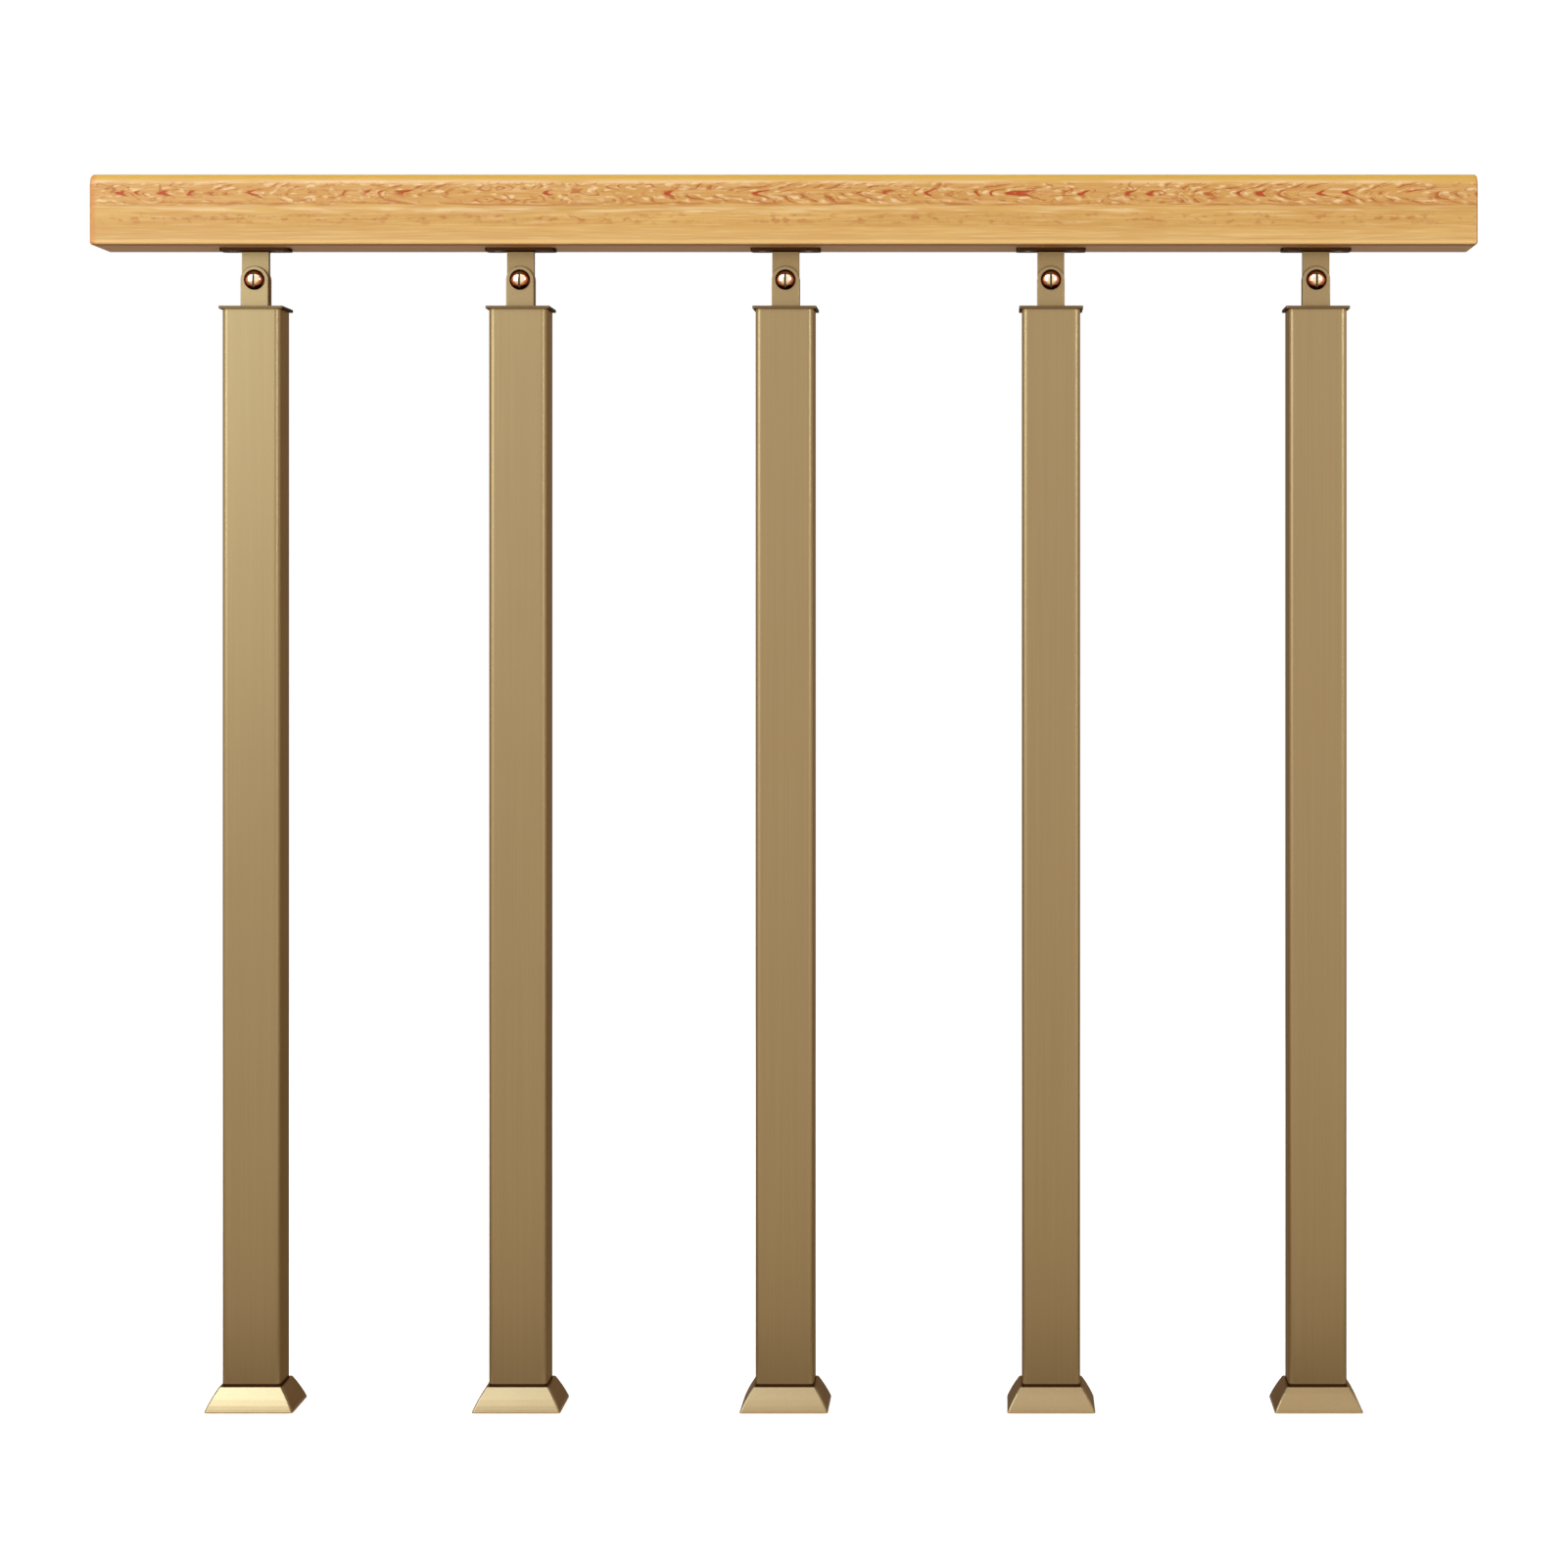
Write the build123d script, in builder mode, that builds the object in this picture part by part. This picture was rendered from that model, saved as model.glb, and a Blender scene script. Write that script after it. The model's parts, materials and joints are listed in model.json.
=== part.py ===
from build123d import *
import os

# Stair railing: a wooden handrail on square aluminium posts.
# Each post carries a knuckle, so the handrail can follow the pitch of a stair while the posts stay plumb.
# Millimetres. X runs along the handrail, Y from front to back, Z up.
# The origin is the middle of the underside of the centre post's foot.

# Arrangement
post_count = 5
post_pitch = 183.5
rail_top_height = 850.0
rail_overhang = 109.0

# Handrail section
rail_width = 60.0
rail_depth = 49.0
rail_top_round = 8.0
rail_bottom_round = 2.6
rail_end_round = 2.5

# Post tube
post_side = 40.0
post_corner = 4.0
post_wall = 1.6

# Top cap, plugged into the tube
cap_overhang = 2.0
cap_flange = 2.0
cap_corner = 1.2
cap_edge_round = 0.3
plug_depth = 14.0
plug_wall = 2.5
plug_play = 0.2

# Tenon that holds the fork on the cap, upset below the flange
tenon_radius = 4.0
tenon_play = 0.05
tenon_head_radius = 5.6
tenon_head_height = 1.6
tenon_head_round = 0.6

# Knuckle: ears on the post, tongue under the handrail
pivot_rise = 19.0
pivot_drop = 22.0
ear_width = 19.0
ear_thickness = 4.0
ear_edge = 0.6
fork_web = 3.0
tongue_width = 18.6
tongue_thickness = 6.0
side_play = 0.3

# Plate that fixes the tongue to the handrail
plate_length = 48.0
plate_width = 20.0
plate_thickness = 2.0
plate_corner = 3.0
plate_fillet = 1.4
wood_screw_pitch = 32.0
wood_screw_hole = 2.1
wood_screw_sink = 3.7
pilot_radius = 1.5
pilot_depth = 24.0

# Pivot bolt and nut
bolt_radius = 4.0
bolt_running_play = 0.05
bolt_ear_play = 0.2
head_radius = 7.0
head_height = 4.4
head_rim = 1.0
slot_width = 1.4
slot_depth = 1.8
nut_flats = 13.0
nut_height = 5.0
nut_thread_play = 0.05
nut_chamfer = 0.5
bolt_end_stick_out = 1.5
bolt_end_chamfer = 0.8

# Foot: a core screwed to the floor, inside the tube, and a hollow cover over it
core_plate_ledge = 5.0
core_plate_thickness = 4.0
core_plate_corner = 3.0
core_height = 44.0
core_wall = 3.0
core_play = 0.2
core_floor = 5.0
floor_hole_radius = 2.75
floor_hole_edge = 5.7
cover_spread = 10.2
cover_height = 16.4
cover_lip = 1.0
cover_tiers = 4
cover_bulge = 0.5
cover_wall = 1.7
cover_roof = 2.0
cover_land = 1.5
cover_gap = 0.3
cover_ridge_round = 1.4

# Heights and sizes that follow from the ones above
rail_underside = rail_top_height - rail_depth
pivot_height = rail_underside - pivot_drop
cap_top = pivot_height - pivot_rise
tube_top = cap_top - cap_flange
tube_inside = post_side - 2 * post_wall
tube_inside_corner = post_corner - post_wall
rail_length = (post_count - 1) * post_pitch + 2 * rail_overhang
fork_gap = tongue_thickness + 2 * side_play
fork_depth = fork_gap + 2 * ear_thickness
core_side = tube_inside - 2 * core_play
core_pocket = core_side - 2 * core_wall
floor_hole_pitch = core_pocket - 2 * floor_hole_edge
post_x = [(i - (post_count - 1) / 2) * post_pitch for i in range(post_count)]


def save(part, name):
    """Label a finished piece and write it to its own STEP file."""
    part.label = name
    export_step(part, f"parts/{name}.step")


def strap_outline(width, pivot_z, end_z, x):
    """Draw a strap on the XZ plane: a full round end about the pivot, run straight to end_z."""
    middle_z = (pivot_z + end_z) / 2
    with Locations((x, middle_z)):
        Rectangle(width, abs(end_z - pivot_z))
    with Locations((x, pivot_z)):
        Circle(width / 2)


def cover_side_at(share):
    """Outside width of the foot cover at a share of its slope, on a slightly swelling line."""
    foot_side = post_side + 2 * cover_spread
    top_side = post_side + 2 * (cover_gap + cover_land)
    return foot_side + (top_side - foot_side) * share + 8 * cover_bulge * share * (1 - share)


def make_handrail():
    """Wooden rail: softly rounded on top, nearly square below, with eased ends and drilled for its screws."""
    with BuildPart() as handrail:
        with BuildSketch(Plane.YZ.offset(-rail_length / 2)) as section:
            with Locations((0, rail_underside + rail_depth / 2)):
                Rectangle(rail_width, rail_depth)
            fillet(section.vertices().group_by(Axis.Y)[-1], rail_top_round)
            fillet(section.vertices().group_by(Axis.Y)[0], rail_bottom_round)
        extrude(amount=rail_length)
        ends = handrail.faces().filter_by(Axis.X)
        fillet(ends.edges(), rail_end_round)
        for x in post_x:
            with Locations(Plane((x, 0, rail_underside), z_dir=(0, 0, -1))):
                with GridLocations(wood_screw_pitch, 0, 2, 1):
                    Hole(pilot_radius, depth=pilot_depth)
    return handrail.part


def make_tube(x):
    """Square aluminium tube with rounded corners, standing on the foot core."""
    with BuildPart() as tube:
        with BuildSketch(Plane((x, 0, core_plate_thickness))):
            RectangleRounded(post_side, post_side, post_corner)
            RectangleRounded(tube_inside, tube_inside, tube_inside_corner, mode=Mode.SUBTRACT)
        extrude(amount=tube_top - core_plate_thickness)
    return tube.part


def make_core(x):
    """Foot core: a floor plate with a square cup that the tube slides over, screwed down inside the cup."""
    with BuildPart() as core:
        plate_side = post_side + 2 * core_plate_ledge
        with BuildSketch(Plane((x, 0, 0))):
            RectangleRounded(plate_side, plate_side, core_plate_corner)
        extrude(amount=core_plate_thickness)
        with BuildSketch(Plane((x, 0, core_plate_thickness))):
            RectangleRounded(core_side, core_side, tube_inside_corner)
        extrude(amount=core_height - core_plate_thickness)
        with BuildSketch(Plane((x, 0, core_floor))):
            RectangleRounded(core_pocket, core_pocket, tube_inside_corner)
        extrude(amount=core_height - core_floor, mode=Mode.SUBTRACT)
        with Locations((x, 0, core_floor)):
            with GridLocations(floor_hole_pitch, floor_hole_pitch, 2, 2):
                Hole(floor_hole_radius, depth=core_floor)
    return core.part


def make_cover(x):
    """Hollow foot cover: a four-sided skirt in shallow tiers, open below, with a hole for the tube."""
    tier_rise = (cover_height - cover_lip) / cover_tiers
    cavity_top = cover_height - cover_roof
    cavity_share = (cavity_top - cover_lip) / (cover_height - cover_lip)
    with BuildPart() as cover:
        with BuildSketch(Plane((x, 0, 0))):
            RectangleRounded(cover_side_at(0), cover_side_at(0), cover_ridge_round)
        for tier in range(cover_tiers + 1):
            side = cover_side_at(tier / cover_tiers)
            with BuildSketch(Plane((x, 0, cover_lip + tier * tier_rise))):
                RectangleRounded(side, side, cover_ridge_round)
        loft(ruled=True)
        for height, share in ((0, 0), (cavity_top, cavity_share)):
            side = cover_side_at(share) - 2 * cover_wall
            with BuildSketch(Plane((x, 0, height))):
                RectangleRounded(side, side, cover_ridge_round)
        loft(ruled=True, mode=Mode.SUBTRACT)
        with BuildSketch(Plane((x, 0, 0))):
            hole_side = post_side + 2 * cover_gap
            RectangleRounded(hole_side, hole_side, post_corner + cover_gap)
        extrude(amount=cover_height, mode=Mode.SUBTRACT)
    return cover.part


def make_cap(x):
    """Top cap: a thin flange over the tube's mouth, with a hollow plug and a hole for the fork's tenon."""
    flange_side = post_side + 2 * cap_overhang
    plug_side = tube_inside - 2 * plug_play
    plug_inside = plug_side - 2 * plug_wall
    with BuildPart() as cap:
        with BuildSketch(Plane((x, 0, tube_top))):
            RectangleRounded(flange_side, flange_side, cap_corner)
        extrude(amount=cap_flange)
        fillet(cap.faces().filter_by(Axis.Z).edges(), cap_edge_round)
        with BuildSketch(Plane((x, 0, tube_top))):
            RectangleRounded(plug_side, plug_side, tube_inside_corner)
            Rectangle(plug_inside, plug_inside, mode=Mode.SUBTRACT)
        extrude(amount=-plug_depth)
        with Locations((x, 0, cap_top)):
            Hole(tenon_radius + tenon_play, depth=cap_flange)
    return cap.part


def make_fork(x):
    """Fork on the cap: two full-round ears, the web between them and a tenon upset below the cap."""
    front = Plane((x, 0, 0), x_dir=(1, 0, 0), z_dir=(0, -1, 0))
    with BuildPart() as fork:
        with BuildSketch(front):
            strap_outline(ear_width, pivot_height, cap_top, 0)
        extrude(amount=fork_depth / 2, both=True)
        outer_faces = fork.faces().filter_by(Axis.Y)
        fillet(outer_faces.edges(), ear_edge)
        with BuildSketch(Plane((x, 0, cap_top + fork_web))):
            Rectangle(2 * ear_width, fork_gap)
        extrude(amount=pivot_rise + ear_width, mode=Mode.SUBTRACT)
        with BuildSketch(front):
            with Locations((0, pivot_height)):
                Circle(bolt_radius + bolt_ear_play)
        extrude(amount=fork_depth, both=True, mode=Mode.SUBTRACT)
        with BuildSketch(Plane((x, 0, cap_top))):
            Circle(tenon_radius)
        extrude(amount=-cap_flange)
        with BuildSketch(Plane((x, 0, tube_top))):
            Circle(tenon_head_radius)
        extrude(amount=-tenon_head_height)
        fillet(fork.edges().sort_by(Axis.Z)[0], tenon_head_round)
    return fork.part


def make_rail_bracket(x):
    """Bracket under the handrail: a screwed plate and the tongue that turns between the ears."""
    front = Plane((x, 0, 0), x_dir=(1, 0, 0), z_dir=(0, -1, 0))
    plate_underside = rail_underside - plate_thickness
    with BuildPart() as bracket:
        with BuildSketch(front):
            strap_outline(tongue_width, pivot_height, rail_underside, 0)
        extrude(amount=tongue_thickness / 2, both=True)
        with BuildSketch(Plane((x, 0, plate_underside))):
            RectangleRounded(plate_length, plate_width, plate_corner)
        extrude(amount=plate_thickness)
        roots = bracket.edges().filter_by(GeomType.LINE).filter_by_position(
            Axis.Z, plate_underside, plate_underside
        )
        inner_roots = roots.filter_by(
            lambda e: abs(e.center().X - x) < plate_length / 2 - plate_corner
            and abs(e.center().Y) < plate_width / 2 - plate_fillet
        )
        fillet(inner_roots, plate_fillet)
        with BuildSketch(front):
            with Locations((0, pivot_height)):
                Circle(bolt_radius + bolt_running_play)
        extrude(amount=plate_width, both=True, mode=Mode.SUBTRACT)
        with Locations(Plane((x, 0, plate_underside), z_dir=(0, 0, -1))):
            with GridLocations(wood_screw_pitch, 0, 2, 1):
                CounterSinkHole(wood_screw_hole, wood_screw_sink, depth=plate_thickness)
    return bracket.part


def make_bolt(x):
    """Pivot bolt: slotted domed head in front, shank through both ears and the tongue."""
    head_seat = -fork_depth / 2
    bolt_end = fork_depth / 2 + nut_height + bolt_end_stick_out
    with BuildPart() as bolt:
        with BuildSketch(Plane((x, 0, pivot_height))):
            with BuildLine():
                Polyline(
                    (0, head_seat - head_height),
                    (0, bolt_end),
                    (bolt_radius - bolt_end_chamfer, bolt_end),
                    (bolt_radius, bolt_end - bolt_end_chamfer),
                    (bolt_radius, head_seat),
                    (head_radius, head_seat),
                    (head_radius, head_seat - head_rim),
                )
                TangentArc(
                    (0, head_seat - head_height),
                    (head_radius, head_seat - head_rim),
                    tangent=(1, 0),
                    tangent_from_first=True,
                )
            make_face()
        revolve(axis=Axis((x, 0, pivot_height), (0, 1, 0)))
        crown = (x, head_seat - head_height, pivot_height)
        with BuildSketch(Plane(crown, x_dir=(1, 0, 0), z_dir=(0, 1, 0))):
            Rectangle(slot_width, 2 * head_radius)
        extrude(amount=slot_depth, mode=Mode.SUBTRACT)
    return bolt.part


def make_nut(x):
    """Hexagon nut on the back ear."""
    with BuildPart() as nut:
        with BuildSketch(Plane((x, fork_depth / 2, pivot_height), z_dir=(0, 1, 0))):
            RegularPolygon(nut_flats / 2, 6, major_radius=False)
            Circle(bolt_radius + nut_thread_play, mode=Mode.SUBTRACT)
        extrude(amount=nut_height)
        rim = nut.faces().sort_by(Axis.Y)[-1].outer_wire()
        chamfer(rim.edges(), nut_chamfer)
    return nut.part


def main():
    """Build every piece and write it out."""
    os.makedirs("parts", exist_ok=True)
    save(make_handrail(), "handrail")
    for number, x in enumerate(post_x, start=1):
        save(make_tube(x), f"post_{number}")
        save(make_core(x), f"foot_core_{number}")
        save(make_cover(x), f"foot_cover_{number}")
        save(make_cap(x), f"top_cap_{number}")
        save(make_fork(x), f"fork_{number}")
        save(make_rail_bracket(x), f"rail_bracket_{number}")
        save(make_bolt(x), f"pivot_bolt_{number}")
        save(make_nut(x), f"pivot_nut_{number}")


main()
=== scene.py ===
"""Looks of a stair railing: a lacquered wooden handrail on anodised aluminium posts with brass bolts."""

import json
import logging
import math
from dataclasses import dataclass, field
from enum import Enum

import bmesh
import bpy
from mathutils import Matrix, Vector

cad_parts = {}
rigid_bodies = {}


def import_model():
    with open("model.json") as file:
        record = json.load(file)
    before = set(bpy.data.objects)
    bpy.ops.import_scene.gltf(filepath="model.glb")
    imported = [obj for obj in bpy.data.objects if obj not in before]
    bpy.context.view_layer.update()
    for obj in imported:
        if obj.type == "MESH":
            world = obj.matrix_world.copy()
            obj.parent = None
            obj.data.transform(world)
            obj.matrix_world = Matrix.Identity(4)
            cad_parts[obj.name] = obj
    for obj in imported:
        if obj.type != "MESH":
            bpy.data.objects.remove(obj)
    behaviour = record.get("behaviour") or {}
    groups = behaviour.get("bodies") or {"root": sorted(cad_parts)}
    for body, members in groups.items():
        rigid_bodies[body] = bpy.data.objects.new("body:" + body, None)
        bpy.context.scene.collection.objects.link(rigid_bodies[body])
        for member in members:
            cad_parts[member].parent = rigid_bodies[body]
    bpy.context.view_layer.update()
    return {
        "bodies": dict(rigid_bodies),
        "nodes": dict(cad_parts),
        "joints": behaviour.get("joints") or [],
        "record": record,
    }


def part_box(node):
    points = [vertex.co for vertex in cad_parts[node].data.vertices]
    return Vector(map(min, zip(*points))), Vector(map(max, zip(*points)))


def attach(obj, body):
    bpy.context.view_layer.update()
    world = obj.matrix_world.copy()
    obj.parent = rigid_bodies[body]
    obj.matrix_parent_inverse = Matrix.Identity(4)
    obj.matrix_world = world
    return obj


log = logging.getLogger("stair_railing")

MM = 0.001
POSTS = 5
NOISE_LOW, NOISE_HIGH = 0.3, 0.7  # nearly all of a noise's values lie between these
FLAT = 1e-9  # metres within which a point counts as lying in a plane
Colour = tuple[float, float, float, float]
Tree = bpy.types.ShaderNodeTree
Node = bpy.types.Node
Source = bpy.types.Node | bpy.types.NodeSocket


def linear(code: str) -> Colour:
    """Turn an sRGB hex code into a linear colour.

    Args:
        code: six hex digits after a hash.

    Returns:
        Red, green, blue and an alpha of 1.
    """
    channels = [int(code[i : i + 2], 16) / 255 for i in (1, 3, 5)]
    red, green, blue = [c / 12.92 if c <= 0.04045 else ((c + 0.055) / 1.055) ** 2.4 for c in channels]
    return red, green, blue, 1.0


def add_node(tree: Tree, kind: str, inputs: dict | None = None, **settings) -> Node:
    """Add a shader node with its settings, and link or set its inputs.

    Args:
        tree: the node tree that gets the node.
        kind: Blender's name for the node's type.
        inputs: socket name or number, to a value, or to the socket or node that feeds it.
        settings: the node's own properties.

    Returns:
        The new node.
    """
    node = tree.nodes.new(kind)
    for name, value in settings.items():
        setattr(node, name, value)
    for key, value in (inputs or {}).items():
        if isinstance(value, bpy.types.Node):
            tree.links.new(value.outputs[0], node.inputs[key])
        elif isinstance(value, bpy.types.NodeSocket):
            tree.links.new(value, node.inputs[key])
        else:
            node.inputs[key].default_value = value
    return node


def new_material(name: str) -> tuple[bpy.types.Material, Tree, Source]:
    """Start an empty node material.

    Args:
        name: the finish's name.

    Returns:
        The material, its tree and the piece's Object coordinates.
    """
    material = bpy.data.materials.new(name)
    material.use_nodes = True
    tree = material.node_tree
    tree.nodes.clear()
    place = add_node(tree, "ShaderNodeTexCoord").outputs["Object"]
    return material, tree, place


def end_material(tree: Tree, shader: Source) -> None:
    """Link the finished shader to the material's output."""
    add_node(tree, "ShaderNodeOutputMaterial", {"Surface": shader})


@dataclass(frozen=True)
class Fade:
    """How a layer comes in with a value: where it starts, where it is full, and its weight there."""

    start: float
    full: float
    most: float = 1.0

    def counted_from(self, base: float) -> "Fade":
        """The same fade, with its values counted from a base."""
        return Fade(base + self.start, base + self.full, self.most)

    def weight(self, tree: Tree, value: Source) -> Source:
        """Fade the layer in.

        Args:
            tree: the material's tree.
            value: the value that drives the layer.

        Returns:
            The layer's weight.
        """
        return add_node(
            tree,
            "ShaderNodeMapRange",
            {0: value, 1: self.start, 2: self.full, 3: 0.0, 4: self.most},
            interpolation_type="SMOOTHSTEP",
        )


@dataclass(frozen=True)
class RailGrid:
    """The rail's coordinates and sizes in millimetres, from the middle of its top.

    The height of every point is therefore negative, and so is the underside's.
    """

    tree: Tree
    grid: Source
    along: Source
    depth: Source
    height: Source
    half_length: float
    half_width: float
    underside: float

    def long_edges(self, sides: Fade, heights: Fade) -> Source:
        """Weight of a layer along the long edges, front and back alike.

        Args:
            sides: how it comes in across the rail, counted outwards from the rail's sides.
            heights: how it comes in up or down the rail.

        Returns:
            The layer's weight.
        """
        side = add_node(self.tree, "ShaderNodeMath", {0: self.depth}, operation="ABSOLUTE")
        outer = sides.counted_from(self.half_width).weight(self.tree, side)
        level = heights.weight(self.tree, self.height)
        return add_node(self.tree, "ShaderNodeMath", {0: level, 1: outer}, operation="MULTIPLY")

    def ends(self, reach: Fade, lean: float = 0.0) -> Source:
        """Weight of a layer near both ends of the rail.

        Args:
            reach: how it comes in, counted outwards from the ends.
            lean: how much further it reaches at the left end than at the right.

        Returns:
            The layer's weight.
        """
        leaning = add_node(self.tree, "ShaderNodeMath", {0: self.along, 1: lean / 2}, operation="SUBTRACT")
        distance = add_node(self.tree, "ShaderNodeMath", {0: leaning}, operation="ABSOLUTE")
        return reach.counted_from(self.half_length).weight(self.tree, distance)


@dataclass(frozen=True)
class Noise:
    """Noise drawn out along the rail, as wood fibres are. Lengths are in millimetres."""

    length: float
    thickness: float
    detail: float

    def value(self, rail: RailGrid) -> Source:
        """Draw the noise.

        Args:
            rail: the rail's coordinates.

        Returns:
            A value about 0.5.
        """
        scale = (1 / self.length, 1 / self.thickness, 1 / self.thickness)
        drawn = add_node(rail.tree, "ShaderNodeMapping", {0: rail.grid, "Scale": scale})
        inputs = {"Vector": drawn, "Scale": 1.0, "Detail": self.detail}
        return add_node(rail.tree, "ShaderNodeTexNoise", inputs)


@dataclass(frozen=True)
class Patches:
    """A broken layer that comes and goes with a noise."""

    noise: Noise
    fade: Fade

    def weight(self, rail: RailGrid) -> Source:
        """The layer's weight all over the rail."""
        return self.fade.weight(rail.tree, self.noise.value(rail))


@dataclass(frozen=True)
class Streak(Patches):
    """Patches on one line along the rail. The line's middle and half width are in millimetres."""

    middle: float
    half: float

    def on_line(self, rail: RailGrid, across: Source) -> Source:
        """The patches' weight on the line alone.

        Args:
            rail: the rail's coordinates.
            across: the distance that the line's middle is measured in.

        Returns:
            The streak's weight.
        """
        tree = rail.tree
        offset = add_node(tree, "ShaderNodeMath", {0: across, 1: self.middle}, operation="SUBTRACT")
        distance = add_node(tree, "ShaderNodeMath", {0: offset}, operation="ABSOLUTE")
        line = Fade(self.half, 0.0).weight(tree, distance)
        return add_node(tree, "ShaderNodeMath", {0: self.weight(rail), 1: line}, operation="MULTIPLY")


@dataclass(frozen=True)
class Arrowheads:
    """Growth rings cut beside the heart of the log: nested arrowheads that point to the left.

    They come in groups, with softer arches and ovals between the groups. The slope is how far an arm runs
    back for each millimetre across the band, and the drift and the ripple are how far the rings stray along
    the rail. Lengths are in millimetres.
    """

    spacing: float = 15.0
    slope: float = 2.2
    slope_noise: Noise = Noise(54.0, 80.0, 0.0)
    curve: float = 0.1
    blunt: float = 0.8
    drift: float = 20.0
    drift_noise: Noise = Noise(46.0, 14.0, 1.0)
    ripple: float = 7.0
    ripple_noise: Noise = Noise(11.0, 4.5, 2.0)
    ring_line: Fade = Fade(0.50, 0.97, 0.9)
    fine_shift: float = 0.8
    fine_line: Fade = Fade(0.3, 0.95, 0.45)
    groups: Patches = Patches(Noise(105.0, 60.0, 0.0), Fade(0.46, 0.54))
    loop_noise: Noise = Noise(19.0, 19.0 / 2.6, 1.0)
    loop_count: float = 7.0
    loop_line: Fade = Fade(0.3, 0.95, 0.75)
    cover: Patches = Patches(Noise(26.0, 5.0, 2.0), Fade(0.34, 0.54))
    tears: Patches = Patches(Noise(7.0, 2.4, 2.0), Fade(0.36, 0.56))
    early_trough: Fade = Fade(0.7, 0.0, 0.7)
    early_spots: Patches = Patches(Noise(8.0, 3.0, 1.0), Fade(0.50, 0.64))
    heart_reach: Fade = Fade(2.8, 1.4)
    heart_spots: Patches = Patches(Noise(24.0, 40.0, 0.0), Fade(0.50, 0.60))
    heart_line: Fade = Fade(0.45, 0.9, 0.95)

    def build(self, rail: RailGrid, across: Source, band: Source) -> tuple[Source, Source, Source]:
        """Draw the arrowheads of one band.

        Args:
            rail: the rail's coordinates.
            across: signed distance from the band's middle line.
            band: weight of the band.

        Returns:
            The weights of the pale early wood, of the dark rings, and of the heart flecks.
        """
        tree = rail.tree
        squared = add_node(tree, "ShaderNodeMath", {0: across, 1: across}, operation="MULTIPLY")
        blunted = add_node(tree, "ShaderNodeMath", {0: squared, 1: self.blunt**2})
        arm = add_node(tree, "ShaderNodeMath", {0: blunted}, operation="SQRT")
        phase = self.phase(rail, squared, arm)
        wave = add_node(tree, "ShaderNodeMath", {0: phase}, operation="SINE")
        nested, rounded = self.lines(tree, phase, wave), self.loops(rail)
        lines = add_node(tree, "ShaderNodeMix", {0: self.groups.weight(rail), 2: rounded, 3: nested})
        cover, tears = self.cover.weight(rail), self.tears.weight(rail)
        shown = add_node(tree, "ShaderNodeMath", {0: cover, 1: band}, operation="MULTIPLY")
        torn = add_node(tree, "ShaderNodeMath", {0: tears, 1: shown}, operation="MULTIPLY")
        rings = add_node(tree, "ShaderNodeMath", {0: lines, 1: torn}, operation="MULTIPLY")

        trough = self.early_trough.weight(tree, wave)
        spots = add_node(
            tree, "ShaderNodeMath", {0: trough, 1: self.early_spots.weight(rail)}, operation="MULTIPLY"
        )
        early = add_node(tree, "ShaderNodeMath", {0: spots, 1: shown}, operation="MULTIPLY")

        middle = self.heart_reach.weight(tree, arm)
        flecks = add_node(
            tree, "ShaderNodeMath", {0: middle, 1: self.heart_spots.weight(rail)}, operation="MULTIPLY"
        )
        dark = self.heart_line.weight(tree, wave)
        hearts = add_node(tree, "ShaderNodeMath", {0: flecks, 1: dark}, operation="MULTIPLY")
        inside = add_node(tree, "ShaderNodeMath", {0: hearts, 1: band}, operation="MULTIPLY")
        return early, rings, inside

    def phase(self, rail: RailGrid, squared: Source, arm: Source) -> Source:
        """How deep among the rings a point lies.

        Args:
            rail: the rail's coordinates.
            squared: squared distance from the band's middle line.
            arm: distance from that line, blunted near it.

        Returns:
            An angle, which makes one turn from ring to ring.
        """
        tree = rail.tree
        bowed = add_node(
            tree, "ShaderNodeMath", {0: squared, 1: -self.curve, 2: rail.along}, operation="MULTIPLY_ADD"
        )
        slope = self.slope_noise.value(rail)
        steepness = add_node(tree, "ShaderNodeMath", {0: slope, 1: -2 * self.slope}, operation="MULTIPLY")
        place = add_node(tree, "ShaderNodeMath", {0: arm, 1: steepness, 2: bowed}, operation="MULTIPLY_ADD")
        for noise, most in ((self.drift_noise, self.drift), (self.ripple_noise, self.ripple)):
            shift = {0: noise.value(rail), 1: 2 * most, 2: place}
            place = add_node(tree, "ShaderNodeMath", shift, operation="MULTIPLY_ADD")
        return add_node(
            tree, "ShaderNodeMath", {0: place, 1: 2 * math.pi / self.spacing}, operation="MULTIPLY"
        )

    def lines(self, tree: Tree, phase: Source, wave: Source) -> Source:
        """The rings' dark lines, with finer and fainter ones between them.

        Args:
            tree: the material's tree.
            phase: how deep among the rings a point lies, as an angle.
            wave: its sine.

        Returns:
            The lines' weight.
        """
        doubled = add_node(
            tree, "ShaderNodeMath", {0: phase, 1: 2.0, 2: self.fine_shift}, operation="MULTIPLY_ADD"
        )
        fine = add_node(tree, "ShaderNodeMath", {0: doubled}, operation="SINE")
        bold_line = self.ring_line.weight(tree, wave)
        fine_line = self.fine_line.weight(tree, fine)
        return add_node(tree, "ShaderNodeMath", {0: bold_line, 1: fine_line}, operation="MAXIMUM")

    def loops(self, rail: RailGrid) -> Source:
        """Softer arches and ovals, where the rings meet the face at a glancing angle.

        Args:
            rail: the rail's coordinates.

        Returns:
            The weight of their lines.
        """
        turns = 2 * math.pi * self.loop_count
        phase = add_node(
            rail.tree, "ShaderNodeMath", {0: self.loop_noise.value(rail), 1: turns}, operation="MULTIPLY"
        )
        wave = add_node(rail.tree, "ShaderNodeMath", {0: phase}, operation="SINE")
        return self.loop_line.weight(rail.tree, wave)


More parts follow.
